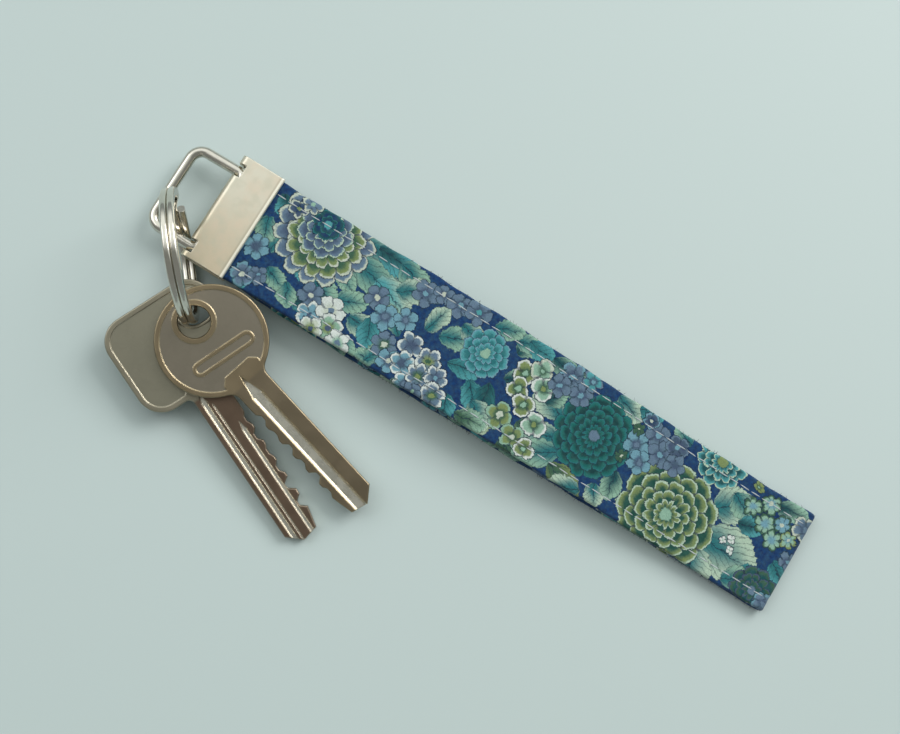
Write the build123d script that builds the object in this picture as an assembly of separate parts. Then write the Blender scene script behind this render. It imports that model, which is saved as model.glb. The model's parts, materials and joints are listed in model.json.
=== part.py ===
from build123d import *
from math import asin, atan, cos, degrees, radians, sin
import os

# A wristlet key holder: a doubled cloth band held in a folded metal clamp, whose hinged wire loop
# carries a split ring and two cylinder keys. Everything lies on a table.
# Millimetres. +X runs along the band from the clamp to the fold, +Z is up, z = 0 is the table,
# and the origin is under the middle of the band's visible length.

# Driving dimensions
BAND_WIDTH = 25.0
BAND_LENGTH = 139.0         # from the clamp's mouth to the fold
BAND_THICK = 1.5            # two cloth skins round a core
SKIN = 0.35                 # one cloth skin
CORE_THICK = 0.74
CORE_MARGIN = 0.55          # from the core's edge to the band's edge
CORE_PLAY = 0.05            # between the core's edge and the cloth
BAND_PLAY = 0.06            # between the two runs in the clamp
BAND_GRIP = 6.0             # length of band inside the clamp
CREST = 8.1                 # height of the upper run's middle line at its highest
CREST_X = -22.0
FOLD_RADIUS = 0.85          # middle line of the fold
TOUCHDOWN_X = -47.0         # where the lower run meets the table

CLAMP_WIDTH = 25.4
CLAMP_DEPTH = 10.5
CLAMP_THICK = 4.9
CLAMP_SHEET = 0.85
CLAMP_LIFT = 3.2            # height of its underside, which rides on the ring
CLAMP_BEND = 2.3            # outside radius of the sheet's fold at its lower face
CLAMP_CREASE = 1.4          # and at its upper face, where it is pressed tighter
CLAMP_LIP = 0.38            # rounding of the edges at its mouth
SLOT_DEPTH = 1.9            # the loop's legs pass through slots in the clamp's fold
SLOT_PLAY = 0.3
TOOTH = 0.45                # the clamp's teeth bite the band this deep
TOOTH_COUNT = 7
TOOTH_PITCH = 3.34
TOOTH_HEIGHT = 1.0
TOOTH_WIDTH = 1.8
TOOTH_LENGTH = 0.5          # along the band
TOOTH_BACK = 1.2            # from the clamp's mouth

LOOP_WIDTH = 21.7           # outside
LOOP_REACH = 12.25           # hinge bar to outer bar, middle lines
LOOP_WIRE = 2.4
LOOP_CORNER = 2.9           # middle line, at the free end
LOOP_HINGE_CORNER = 1.3
LOOP_SHIFT = -0.35
LOOP_DROP = 7.0             # degrees that the loop hangs below level
LOOP_PLAY = 0.1             # between the hinge bar and the clamp's fold

RING_OUTER = 28.8
RING_RADIAL = 1.9
RING_COIL = 1.46
RING_GAP = 0.05
RING_CORNER = 0.52          # rounding of the wire's section
RING_STEP = 32.0            # degrees over which the wire crosses from one coil to the other
RING_ENDS = 212.0           # where the wire's ends lie, in degrees round the ring
RING_SECTIONS = 6           # sections that shape the crossing
RING_CENTRE = (-78.5, -13.9)
RING_HEADING = -50.0        # the ring's level diameter, in degrees from +X
RING_LEAN = 2.5             # degrees that its top leans away from the band

KEY_THICK = 2.2
KEY_GAP = 0.25              # between the two keys, which lie in parallel planes
KEY_BEVEL = 0.2
RIM = 1.15
RECESS = 0.3
SHOULDER = (11.0, 9.4)      # the raised block where bow and blade meet, along and across
SHOULDER_CUT = 1.4          # its cut-off corners
NOSE = 2.8                  # length of a blade's slanted point
NOSE_BACK = 0.9             # the point's cut side falls back this far
CUT_HALF = 1.6              # half a cut's length at its mouth
CUT_FLAT = 0.55             # half its length at its bottom

ROUND_BOW = 24.3            # diameters
ROUND_HOLE = 7.0
ROUND_BOSS = 9.4
ROUND_BOW_X = 5.5           # bow centre, from the hole
ROUND_TIP_X = 53.7
ROUND_SHOULDER_X = 18.7     # middle of the shoulder
ROUND_NECK = 2.6            # fillet between bow and blade
BADGE_X = 9.2               # a raised stadium outline across the bow
BADGE_SIZE = (15.0, 3.2)
BADGE_LINE = 0.7
BADGE_TURN = 82.0
ROUND_BLADE = 7.9
ROUND_HEADING = -15.5
ROUND_HOLE_AT = (-69.5, -23.7)

SQUARE_HANG = -41.0         # where the ring carries the square key, degrees from level
SQUARE_BOW = (22.6, 25.4)   # along and across the key
SQUARE_CORNER = 5.6
SQUARE_HOLE = (8.0, 7.0)    # a slot across the key; its axis of turning is one end's centre
SQUARE_BOSS = 0.7           # width of the raised line round the hole
SQUARE_NECK = 1.4
SQUARE_SHOULDER = 3.0       # from the bow's edge to the middle of the shoulder
SQUARE_BOW_AT = (4.6, -7.4)
SQUARE_BLADE_Y = -6.8       # the blade's middle line, from the hole
SQUARE_TIP_X = 54.7
SQUARE_BLADE = 7.8
SQUARE_HEADING = -24.5

# Cuts in each blade: distance from the hole and depth
ROUND_CUTS = [(25.0, 0.8), (29.2, 0.5), (33.4, 1.0), (37.6, 0.7), (41.8, 1.2), (46.0, 0.6)]
SQUARE_CUTS = [(26.0, 0.6), (30.2, 0.9), (34.4, 0.5), (38.6, 0.8), (42.8, 1.5), (47.4, 1.3)]

# Milled grooves: start, distance from the hole's line or the blade's edge, width, depth
ROUND_GROOVE = (20.2, -0.7, 2.6, 0.8)
ROUND_BACK_GROOVE = (17.5, 1.9, 1.3, 0.6)
SQUARE_GROOVES = [(18.0, 1.7, 1.2, 0.6), (20.0, 3.1, 0.4, 0.3), (27.5, 5.7, 1.0, 0.55)]
SQUARE_BACK_GROOVE = (18.0, 4.4, 1.3, 0.6)

STITCH_INSET = 3.25         # row to the band's edge
STITCH_PITCH = 2.87
STITCH_LENGTH = 2.35
THREAD = 0.36
THREAD_SUNK = 0.06          # how far a stitch's middle lies in the cloth
OUTER_ROW_END = 4.0         # the rows stop this far before the fold, outside the band
INNER_ROW_END = 22.0        # and inside it, where the band narrows to the fold
INNER_ROW_START = 4.0       # past the lower run's touchdown
CUTTER = 0.5                # how far cutters reach past a face

# Worked out from them
MOUTH_X = -BAND_LENGTH / 2
FOLD_X = BAND_LENGTH / 2
CLAMP_BACK_X = MOUTH_X - CLAMP_DEPTH
CLAMP_MID = CLAMP_LIFT + CLAMP_THICK / 2
PAIR = (BAND_THICK + BAND_PLAY) / 2     # from the clamp's middle to each run's middle line
HINGE_X = CLAMP_BACK_X + CLAMP_SHEET + LOOP_WIRE / 2 + LOOP_PLAY
RING_MID = (RING_OUTER - RING_RADIAL) / 2


def s_bend(run, rise):
    """Two equal arcs that climb by rise over run and end level: radius, degrees of each."""
    turn = 2 * atan(rise / run)
    return run / (2 * sin(turn)), degrees(turn)


def band_moves(extra=0.0):
    """The band's middle line in the XZ plane, as straight runs and turns (left is positive)."""
    fold_centre_x = FOLD_X - FOLD_RADIUS - BAND_THICK / 2
    low = BAND_THICK / 2
    rise_radius, rise_turn = s_bend(CREST_X - MOUTH_X, CREST - CLAMP_MID - PAIR)
    fall_radius, fall_turn = s_bend(fold_centre_x - CREST_X, CREST - low - 2 * FOLD_RADIUS)
    back_radius, back_turn = s_bend(TOUCHDOWN_X - MOUTH_X, CLAMP_MID - PAIR - low)
    return [
        ("run", BAND_GRIP + extra),
        ("turn", rise_radius, rise_turn),
        ("turn", rise_radius, -rise_turn),
        ("turn", fall_radius, -fall_turn),
        ("turn", fall_radius, fall_turn),
        ("turn", FOLD_RADIUS, -180.0),
        ("run", fold_centre_x - TOUCHDOWN_X),
        ("turn", back_radius, -back_turn),
        ("turn", back_radius, back_turn),
        ("run", BAND_GRIP + extra),
    ]


def follow(moves, offset=0.0, extra=0.0):
    """The edges of a line that keeps its distance to the left of the band's middle line."""
    point = Vector(MOUTH_X - BAND_GRIP - extra, CLAMP_MID + PAIR + offset)
    heading = Vector(1, 0)
    edges = []
    for move in moves:
        if move[0] == "run":
            edge = Line(point, point + heading * move[1])
        else:
            radius = move[1] - offset if move[2] > 0 else move[1] + offset
            edge = JernArc(point, heading, radius, move[2])
        edges.append(edge)
        point = edge @ 1
        heading = edge % 1
    return edges


def band_solid(thick, width, extra=0.0):
    """A strip of the given thickness and width along the band."""
    moves = band_moves(extra)
    left = follow(moves, thick / 2, extra)
    right = follow(moves, -thick / 2, extra)
    caps = [Line(left[0] @ 0, right[0] @ 0), Line(left[-1] @ 1, right[-1] @ 1)]
    face = make_face([*left, *right, *caps])
    return extrude(Plane.XZ * face, width / 2, both=True)


def strap_fabric():
    skin = band_solid(BAND_THICK, BAND_WIDTH)
    pocket_width = BAND_WIDTH - 2 * (CORE_MARGIN - CORE_PLAY)
    pocket = band_solid(BAND_THICK - 2 * SKIN, pocket_width, extra=CUTTER)
    return skin - pocket


def strap_core():
    return band_solid(CORE_THICK, BAND_WIDTH - 2 * CORE_MARGIN)


def stitch(point, heading, y, sink):
    """One stitch, a short round bar along the band."""
    across = Vector(-heading.Y, heading.X)
    middle = point - across * sink
    bar = Cylinder(THREAD / 2, STITCH_LENGTH)
    return Plane((middle.X, y, middle.Y), (0, 1, 0), (heading.X, 0, heading.Y)) * bar


def thread_row(side, face):
    """The stitches of one thread: face is +1 for the band's outside, -1 for the loop's inside."""
    y = side * (BAND_WIDTH / 2 - STITCH_INSET)
    line = Wire(follow(band_moves(), face * BAND_THICK / 2))
    count = int(line.length // STITCH_PITCH)
    start_x = MOUTH_X + STITCH_LENGTH if face > 0 else TOUCHDOWN_X + INNER_ROW_START
    end_x = FOLD_X - (OUTER_ROW_END if face > 0 else INNER_ROW_END)
    first = STITCH_PITCH / 2 if face > 0 else 0
    stitches = []
    for index in range(count):
        length = first + index * STITCH_PITCH
        point = line.position_at(length, PositionMode.LENGTH)
        heading = line.tangent_at(length, PositionMode.LENGTH)
        if start_x < point.X < end_x:
            flush = face > 0 and point.Y < BAND_THICK / 2
            sink = THREAD / 2 if flush else THREAD_SUNK
            stitches.append(stitch(point, heading, y, face * sink))
    return Compound(stitches)


def creased(wide, high, upper, lower):
    """A rectangle whose upper and lower corners are rounded by different amounts."""
    outline = Rectangle(wide, high)
    outline = fillet(outline.vertices().group_by(Axis.Y)[-1], upper)
    return fillet(outline.vertices().group_by(Axis.Y)[0], lower)


def clamp():
    """A strip of sheet folded double, slotted for the loop's legs, with teeth at its mouth."""
    outer = creased(CLAMP_DEPTH * 2, CLAMP_THICK, CLAMP_CREASE, CLAMP_BEND)
    inner_size = (CLAMP_DEPTH * 2 - 2 * CLAMP_SHEET, CLAMP_THICK - 2 * CLAMP_SHEET)
    inner = creased(*inner_size, CLAMP_CREASE - CLAMP_SHEET, CLAMP_BEND - CLAMP_SHEET)
    half = Pos(CLAMP_DEPTH / 2, 0) * Rectangle(CLAMP_DEPTH, CLAMP_THICK)
    profile = Pos(CLAMP_DEPTH, 0) * (outer - inner) & half
    shell = extrude(Plane.XZ * profile, CLAMP_WIDTH / 2, both=True)
    slot = Box(SLOT_DEPTH * 2, LOOP_WIRE + 2 * SLOT_PLAY, CLAMP_THICK * 2)
    for side in (-1, 1):
        leg_y = LOOP_SHIFT + side * (LOOP_WIDTH - LOOP_WIRE) / 2
        shell -= Pos(0, leg_y, 0) * slot
    lips = shell.edges().filter_by(Axis.Y).group_by(Axis.X)[-1]
    shell = fillet(lips, CLAMP_LIP)
    shell = Pos(CLAMP_BACK_X, 0, CLAMP_MID) * shell
    half_wide = TOOTH_WIDTH / 2
    tooth = Polygon((-half_wide, 0), (half_wide, 0), (0, TOOTH_HEIGHT), align=None)
    for side in (-1, 1):
        blade = Rot(0 if side < 0 else 180, 0, 0) * extrude(Plane.YZ * tooth, TOOTH_LENGTH)
        root = side * (inner_size[1] / 2 + TOOTH_HEIGHT - TOOTH)
        for index in range(TOOTH_COUNT):
            y = (index - (TOOTH_COUNT - 1) / 2) * TOOTH_PITCH
            shell += Pos(MOUTH_X - TOOTH_BACK, y, CLAMP_MID + root) * blade
    return shell


def loop_frame():
    """The plane of the wire loop: origin on the hinge line, x towards the outer bar."""
    drop = radians(LOOP_DROP)
    return Plane((HINGE_X, LOOP_SHIFT, CLAMP_MID), (-cos(drop), 0, -sin(drop)),
                 (-sin(drop), 0, cos(drop)))


def wire_loop():
    """A closed rectangle of round wire, bent tight at the hinge bar and wider at the free end."""
    across = (LOOP_WIDTH - LOOP_WIRE) / 2
    corners = [(LOOP_REACH, 0), (LOOP_REACH, across), (0, across), (0, -across),
               (LOOP_REACH, -across)]
    radii = [0, LOOP_CORNER, LOOP_HINGE_CORNER, LOOP_HINGE_CORNER, LOOP_CORNER]
    outline = FilletPolyline(*corners, radius=radii, close=True).wire()
    start = outline @ 0
    section = Plane(start, z_dir=outline % 0) * Circle(LOOP_WIRE / 2)
    return loop_frame() * sweep(section, outline)


def ring_frame():
    """The ring's plane: origin at its centre, x along its level diameter, z along its axis."""
    heading = radians(RING_HEADING)
    lean = radians(RING_LEAN)
    along = (cos(heading), sin(heading), 0)
    axis = (sin(heading) * cos(lean), -cos(heading) * cos(lean), -sin(lean))
    half_wide = RING_COIL + RING_GAP / 2
    height = RING_OUTER / 2 * cos(lean) + half_wide * sin(lean)
    return Plane((*RING_CENTRE, height), along, axis)


def ring_section(angle, shift):
    """The wire's section at an angle round the ring, shifted along the ring's axis."""
    turn = radians(angle)
    out = Vector(cos(turn), sin(turn), 0)
    place = Plane(out * RING_MID + Vector(0, 0, shift), out, (-sin(turn), cos(turn), 0))
    return place * RectangleRounded(RING_RADIAL, RING_COIL, RING_CORNER)


def split_ring():
    """One wire wound twice: two coils side by side and the slanting step between them."""
    half = (RING_COIL + RING_GAP) / 2
    coils = []
    for shift in (-half, half):
        coils.append(revolve(ring_section(RING_ENDS, shift), Axis.Z, 360 - RING_STEP))
    sections = []
    for part in range(RING_SECTIONS + 1):
        share = part / RING_SECTIONS
        smooth = share * share * (3 - 2 * share)
        angle = RING_ENDS - RING_STEP * (1 - share)
        sections.append(ring_section(angle, -half + 2 * half * smooth))
    step = loft(sections)
    return ring_frame() * (coils[0] + step + coils[1])


def ring_point(angle):
    """A point on the ring's middle circle, in degrees up from its level diameter."""
    turn = radians(angle)
    return ring_frame().from_local_coords(Vector(RING_MID * cos(turn), RING_MID * sin(turn), 0))


def square_frame():
    """The square key's plane: origin in its hole, x along the blade, its tip on the table."""
    hole = ring_point(SQUARE_HANG)
    tilt = asin((hole.Z - KEY_THICK / 2) / SQUARE_TIP_X)
    heading = radians(SQUARE_HEADING)
    level = Vector(cos(heading), sin(heading), 0)
    down = level * cos(tilt) - Vector(0, 0, sin(tilt))
    normal = level * sin(tilt) + Vector(0, 0, cos(tilt))
    return Plane(hole, down, normal)


def round_frame():
    """The round key's plane, parallel to the square key's and lying on it."""
    under = square_frame()
    normal = under.z_dir
    floor = under.origin + normal * (KEY_THICK + KEY_GAP)
    shift = Vector(*ROUND_HOLE_AT, 0) - Vector(floor.X, floor.Y, 0)
    height = floor.Z - (shift.X * normal.X + shift.Y * normal.Y) / normal.Z
    heading = radians(ROUND_HEADING)
    slope = -(cos(heading) * normal.X + sin(heading) * normal.Y) / normal.Z
    return Plane((*ROUND_HOLE_AT, height), (cos(heading), sin(heading), slope), normal)


def blade_outline(tip_x, width, plain, cuts):
    """A blade's outline from x = 0 to its point; plain is the side without cuts, +1 or -1."""
    half = plain * width / 2
    points = [(0, half), (tip_x - NOSE, half), (tip_x, half / 5), (tip_x - NOSE_BACK, -half * 3 / 4)]
    for x, depth in reversed(cuts):
        bottom = -half + plain * depth
        points += [(x + CUT_HALF, -half), (x + CUT_FLAT, bottom)]
        points += [(x - CUT_FLAT, bottom), (x - CUT_HALF, -half)]
    points.append((0, -half))
    return make_face(Polyline(*points, close=True))


def on_both_faces(tool):
    """A cutter for the upper face, and the same one for the lower face."""
    return tool + mirror(tool, Plane.XY)


def groove(start_x, y, width, depth, end_x):
    """A milled groove in the upper face, with a pointed run-out at its start."""
    top = width * 0.64
    floor = width * 0.36
    section = Polygon((-top, CUTTER), (-floor, -depth), (floor, -depth), (top, CUTTER), align=None)
    bar = Pos(start_x, y, KEY_THICK / 2) * extrude(Plane.YZ * section, end_x + CUTTER - start_x)
    point = Polygon((CUTTER, -width / 2), (CUTTER, width / 2), (-width * 2, 0), align=None)
    nose = Pos(start_x, y, KEY_THICK / 2 - depth) * extrude(point, depth + CUTTER)
    return bar + nose


def soften_rims(plate, size):
    """Bevel the sharp edges of a flat plate's two faces."""
    levels = plate.edges().group_by(Axis.Z)
    return chamfer(levels[0] + levels[-1], size)


def shoulder(x, y):
    """The outline of the raised block between a bow and its blade."""
    return Pos(x, y) * chamfer(Rectangle(*SHOULDER).vertices(), SHOULDER_CUT)


def round_corners(plate, neck_x, radius):
    """Fillet the two inside corners where the blade leaves the bow."""
    upright = plate.edges().filter_by(Axis.Z)
    necks = upright.filter_by(lambda edge: abs(edge.center().X - neck_x) < KEY_BEVEL)
    return fillet(necks, radius)


def key_round():
    """A key with a round bow, lying flat, its hole at the origin and its blade along +x."""
    bow = Pos(ROUND_BOW_X, 0) * Circle(ROUND_BOW / 2)
    blade = blade_outline(ROUND_TIP_X, ROUND_BLADE, 1, ROUND_CUTS)
    plate = extrude(bow + blade - Circle(ROUND_HOLE / 2), KEY_THICK / 2, both=True)
    neck_x = ROUND_BOW_X + (ROUND_BOW ** 2 / 4 - ROUND_BLADE ** 2 / 4) ** 0.5
    plate = soften_rims(round_corners(plate, neck_x, ROUND_NECK), KEY_BEVEL)
    field = Pos(ROUND_BOW_X, 0) * Circle(ROUND_BOW / 2 - RIM)
    field -= shoulder(ROUND_SHOULDER_X, 0)
    field -= Circle(ROUND_BOSS / 2)
    line = [size - 2 * BADGE_LINE for size in BADGE_SIZE]
    badge = SlotOverall(*BADGE_SIZE) - SlotOverall(*line)
    field -= Pos(BADGE_X, 0) * Rot(0, 0, BADGE_TURN) * badge
    plate -= on_both_faces(Pos(0, 0, KEY_THICK / 2 - RECESS) * extrude(field, RECESS + CUTTER))
    plate -= groove(*ROUND_GROOVE, ROUND_TIP_X)
    plate -= mirror(groove(*ROUND_BACK_GROOVE, ROUND_TIP_X), Plane.XY)
    return round_frame() * plate


def key_square():
    """A key with a square bow and its hole near one corner, lying flat like the round one."""
    bow = Pos(*SQUARE_BOW_AT) * RectangleRounded(*SQUARE_BOW, SQUARE_CORNER)
    blade = Pos(0, SQUARE_BLADE_Y) * blade_outline(SQUARE_TIP_X, SQUARE_BLADE, -1, SQUARE_CUTS)
    off_centre = (SQUARE_HOLE[0] - SQUARE_HOLE[1]) / 2
    hole = Pos(0, off_centre) * Rot(0, 0, 90) * SlotOverall(*SQUARE_HOLE)
    plate = extrude(bow + blade - hole, KEY_THICK / 2, both=True)
    neck_x = SQUARE_BOW_AT[0] + SQUARE_BOW[0] / 2
    plate = soften_rims(round_corners(plate, neck_x, SQUARE_NECK), KEY_BEVEL)
    inner = [size - 2 * RIM for size in SQUARE_BOW]
    field = Pos(*SQUARE_BOW_AT) * RectangleRounded(*inner, SQUARE_CORNER - RIM)
    field -= offset(hole, SQUARE_BOSS)
    field -= shoulder(neck_x + SQUARE_SHOULDER, SQUARE_BLADE_Y)
    plate -= on_both_faces(Pos(0, 0, KEY_THICK / 2 - RECESS) * extrude(field, RECESS + CUTTER))
    low_edge = SQUARE_BLADE_Y - SQUARE_BLADE / 2
    for start, from_edge, width, depth in SQUARE_GROOVES:
        plate -= groove(start, low_edge + from_edge, width, depth, SQUARE_TIP_X)
    start, from_edge, width, depth = SQUARE_BACK_GROOVE
    back = groove(start, low_edge + from_edge, width, depth, SQUARE_TIP_X)
    plate -= mirror(back, Plane.XY)
    return square_frame() * plate


def main():
    os.makedirs("parts", exist_ok=True)
    nodes = {
        "strap_fabric": strap_fabric(),
        "strap_core": strap_core(),
        "clamp": clamp(),
        "wire_loop": wire_loop(),
        "split_ring": split_ring(),
        "key_round": key_round(),
        "key_square": key_square(),
    }
    for side, name in ((1, "left"), (-1, "right")):
        nodes["top_thread_" + name] = thread_row(side, 1)
        nodes["bobbin_thread_" + name] = thread_row(side, -1)
    for name, shape in nodes.items():
        export_step(shape, "parts/" + name + ".step")
    hinge = loop_frame()
    leg = hinge.from_local_coords(Vector(LOOP_REACH / 2, (LOOP_WIDTH - LOOP_WIRE) / 2, 0))
    for name, plane in (("loop", hinge), ("round", round_frame()), ("square", square_frame())):
        print(name, "origin", plane.origin, "x", plane.x_dir, "normal", plane.z_dir)
    print("ring hinge point", leg, "axis", hinge.x_dir)


main()
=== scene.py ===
# %% [markdown]
# # A wristlet key holder
# A doubled band of printed cotton sits in a folded metal clamp. A hinged wire loop hangs from the
# clamp, and a split ring with two cylinder keys hangs from the loop. The metal parts come as solid
# models that already have their true shape, so they only get finishes here. The cloth, its
# stitches and its frayed edge are modelled in this file, because cloth has no hard shape to import.

# %% Load the solid model
import json
from math import atan, cos, hypot, pi, radians, sin
from random import Random

import bmesh
import bpy
from mathutils import Matrix, Vector


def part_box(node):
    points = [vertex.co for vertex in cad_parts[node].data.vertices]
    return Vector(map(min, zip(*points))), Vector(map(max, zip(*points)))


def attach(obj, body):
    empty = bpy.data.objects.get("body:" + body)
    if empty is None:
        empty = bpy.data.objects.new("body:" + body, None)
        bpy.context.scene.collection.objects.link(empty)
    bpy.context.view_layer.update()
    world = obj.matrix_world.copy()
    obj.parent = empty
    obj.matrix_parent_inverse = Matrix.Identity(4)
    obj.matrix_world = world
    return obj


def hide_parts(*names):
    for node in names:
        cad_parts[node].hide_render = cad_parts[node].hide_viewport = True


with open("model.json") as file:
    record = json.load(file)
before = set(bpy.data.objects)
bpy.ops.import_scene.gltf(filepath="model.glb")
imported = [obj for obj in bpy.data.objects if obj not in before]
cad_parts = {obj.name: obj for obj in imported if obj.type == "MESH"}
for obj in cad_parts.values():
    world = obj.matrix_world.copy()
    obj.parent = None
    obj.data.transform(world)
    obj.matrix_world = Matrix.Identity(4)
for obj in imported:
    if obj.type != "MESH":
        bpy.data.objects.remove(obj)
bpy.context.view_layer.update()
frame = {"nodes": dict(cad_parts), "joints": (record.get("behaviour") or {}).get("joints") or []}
MM = 0.001

# %% [markdown]
# ## Camera, floor and light
# The camera looks down at the table from nearly straight above. It is placed from the point on the
# table that it aims at, its distance, how far it leans from the vertical and how far it is turned.
# One large soft lamp stands for a window and a weaker one fills the other side. The plain view
# transform is chosen because it shows the colours of the print as they are mixed.

# %% Camera
AIM = Vector((-17.77, -2.08, 0)) * MM
DISTANCE = 301.8 * MM
LEAN = Vector((-0.0314, -0.1253, 0))        # radians from the vertical, towards this side
ROLL = 0.5517
LENS = 54.4

tilt_axis = Vector((0, 0, 1)).cross(LEAN)
tilt = Matrix.Rotation(LEAN.length, 3, tilt_axis)
back = tilt @ Vector((0, 0, 1))
right = tilt @ Vector((cos(ROLL), sin(ROLL), 0))
up = back.cross(right)
camera = bpy.data.objects.new("camera", bpy.data.cameras.new("camera"))
camera.data.lens = LENS
camera.data.clip_start = 0.01
facing = Matrix((right, up, back)).transposed().to_4x4()
camera.matrix_world = Matrix.Translation(AIM + back * DISTANCE) @ facing
bpy.context.scene.collection.objects.link(camera)
bpy.context.scene.camera = camera
bpy.context.scene.view_settings.view_transform = "Standard"
print("camera at", [round(value, 3) for value in camera.location])


# %% Lamps and world
def lamp(name, place, size, power, colour):
    """A square lamp of soft light that faces the middle of the object."""
    light = bpy.data.lights.new(name, "AREA")
    light.size = size
    light.energy = power
    light.color = colour
    holder = bpy.data.objects.new(name, light)
    holder.location = place
    holder.rotation_mode = "QUATERNION"
    holder.rotation_quaternion = (Vector(place) - AIM).to_track_quat("Z", "Y")
    bpy.context.scene.collection.objects.link(holder)
    return holder


lamp("window", (0.25, 0.80, 0.75), 0.60, 6.6, (1.0, 0.97, 0.96))
lamp("fill", (-0.9, -0.1, 0.8), 0.7, 1.8, (0.97, 0.96, 1.0))

# %% [markdown]
# ## Formulas as shader nodes
# A material here is a formula over the surface. Writing each sum as a node by hand hides the
# formula, so this small class lets an output of a node be added, multiplied and compared like a
# number, and every operation adds one Math node to the tree.


# %% Wires
class Wire:
    """One output of a shader node. Sums of wires add Math nodes to the same tree."""

    def __init__(self, tree, socket):
        self.tree = tree
        self.socket = socket

    def __add__(self, other):
        return maths("ADD", self, other)

    def __sub__(self, other):
        return maths("SUBTRACT", self, other)

    def __mul__(self, other):
        return maths("MULTIPLY", self, other)

    def __truediv__(self, other):
        return maths("DIVIDE", self, other)

    def __pow__(self, other):
        return maths("POWER", self, other)

    __radd__ = __add__
    __rmul__ = __mul__


def feed(tree, socket, value):
    """Give a socket a wire or a plain value."""
    if isinstance(value, Wire):
        tree.links.new(value.socket, socket)
    else:
        socket.default_value = value


def add_node(tree, kind, inputs=None, **settings):
    """A new node with its settings and its inputs, given by name or number."""
    node = tree.nodes.new("ShaderNode" + kind)
    for name, value in settings.items():
        setattr(node, name, value)
    for key, value in (inputs or {}).items():
        feed(tree, node.inputs[key], value)
    return node


def maths(operation, *values):
    """One Math node on numbers and wires, at least one of them a wire."""
    tree = next(value.tree for value in values if isinstance(value, Wire))
    node = add_node(tree, "Math", dict(enumerate(values)), operation=operation)
    return Wire(tree, node.outputs[0])


def limit(value):
    """The value, kept from 0 to 1."""
    return maths("MINIMUM", maths("MAXIMUM", value, 0.0), 1.0)


def ramp(value, low, high):
    """0 where value is below low, 1 above high, and a soft rise between. A smooth step needs no
    clamp of its own, and without one a long chain of these still fits in the renderer's memory."""
    node = add_node(value.tree, "MapRange", {0: value, 1: low, 2: high}, clamp=False,
                    interpolation_type="SMOOTHSTEP")
    return Wire(value.tree, node.outputs[0])


def blend(factor, first, second, blend_type="MIX"):
    """The first colour where factor is 0, the second where it is 1."""
    inputs = {0: factor, 6: first, 7: second}
    tree = next(value.tree for value in (factor, first, second) if isinstance(value, Wire))
    node = add_node(tree, "Mix", inputs, data_type="RGBA", blend_type=blend_type)
    return Wire(tree, node.outputs[2])


def vector_maths(operation, *values):
    """One Vector Math node on wires and plain vectors."""
    tree = next(value.tree for value in values if isinstance(value, Wire))
    node = add_node(tree, "VectorMath", dict(enumerate(values)), operation=operation)
    output = "Value" if operation in ("LENGTH", "DOT_PRODUCT") else "Vector"
    return Wire(tree, node.outputs[output])


def parts(vector):
    """The x, y and z of a vector."""
    node = add_node(vector.tree, "SeparateXYZ", {0: vector})
    return [Wire(vector.tree, output) for output in node.outputs]


def noise(place, scale, detail=2.0, roughness=0.5, layer=0.0):
    """A soft random value, about 0.5, that changes from place to place. Each layer is different."""
    node = add_node(place.tree, "TexNoise", noise_dimensions="4D")
    inputs = {"Vector": place, "W": layer, "Scale": scale, "Detail": detail, "Roughness": roughness}
    for name, value in inputs.items():
        feed(place.tree, node.inputs[name], value)
    return Wire(place.tree, node.outputs[0])


def new_group(name, inputs, outputs):
    """A node group with named sockets: returns the tree, its inputs as wires, and its output node."""
    tree = bpy.data.node_groups.new(name, "ShaderNodeTree")
    kinds = {float: "NodeSocketFloat", tuple: "NodeSocketColor", Vector: "NodeSocketVector"}
    for label, kind in inputs.items():
        tree.interface.new_socket(label, in_out="INPUT", socket_type=kinds[kind])
    for label, kind in outputs.items():
        tree.interface.new_socket(label, in_out="OUTPUT", socket_type=kinds[kind])
    start = tree.nodes.new("NodeGroupInput")
    wires = {label: Wire(tree, start.outputs[label]) for label in inputs}
    return tree, wires, tree.nodes.new("NodeGroupOutput")


def use_group(tree, group, inputs, output=0):
    """Place a node group in a tree and return one of its outputs."""
    node = add_node(tree, "Group", node_tree=group)
    for key, value in inputs.items():
        feed(tree, node.inputs[key], value)
    return Wire(tree, node.outputs[output])


def new_material(name):
    """A material with its Principled shader: returns the material, its tree and the shader."""
    material = bpy.data.materials.new(name)
    material.use_nodes = True
    tree = material.node_tree
    return material, tree, tree.nodes["Principled BSDF"]


def paint(red, green, blue):
    """A colour as painters' programs give it, 0 to 255, turned into the renderer's own scale."""
    def to_linear(value):
        share = value / 255
        return share / 12.92 if share <= 0.04045 else ((share + 0.055) / 1.055) ** 2.4

    return (to_linear(red), to_linear(green), to_linear(blue), 1.0)


# %% [markdown]
# ## The room around
# Polished metal shows what stands round it, so the world isn't one flat tone. It is dim straight
# above, where whoever looks down would stand, and bright towards the window. Surfaces that lie a
# little differently then look clearly different, as real plated metal does.

# %% World
OVERHEAD = (0.24, 0.25, 0.24, 1)
WINDOW_SIDE = (1.15, 1.20, 1.18, 1)
LOW_DOWN = (0.26, 0.29, 0.29, 1)

world = bpy.data.worlds.new("studio")
bpy.context.scene.world = world
world.use_nodes = True
room = world.node_tree
toward_window = Vector((-0.42, 0.86, 0.0)).normalized()
direction = Wire(room, add_node(room, "TexCoord").outputs["Generated"])
window_side = ramp(vector_maths("DOT_PRODUCT", direction, toward_window), -0.10, 0.34)
sky = blend(window_side, OVERHEAD, WINDOW_SIDE)
height = ramp(vector_maths("DOT_PRODUCT", direction, (0, 0, 1)), 0.15, 0.55)
sky = blend(height, LOW_DOWN, sky)
feed(room, room.nodes["Background"].inputs["Color"], sky)
print("world:", len(room.nodes), "nodes")

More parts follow.
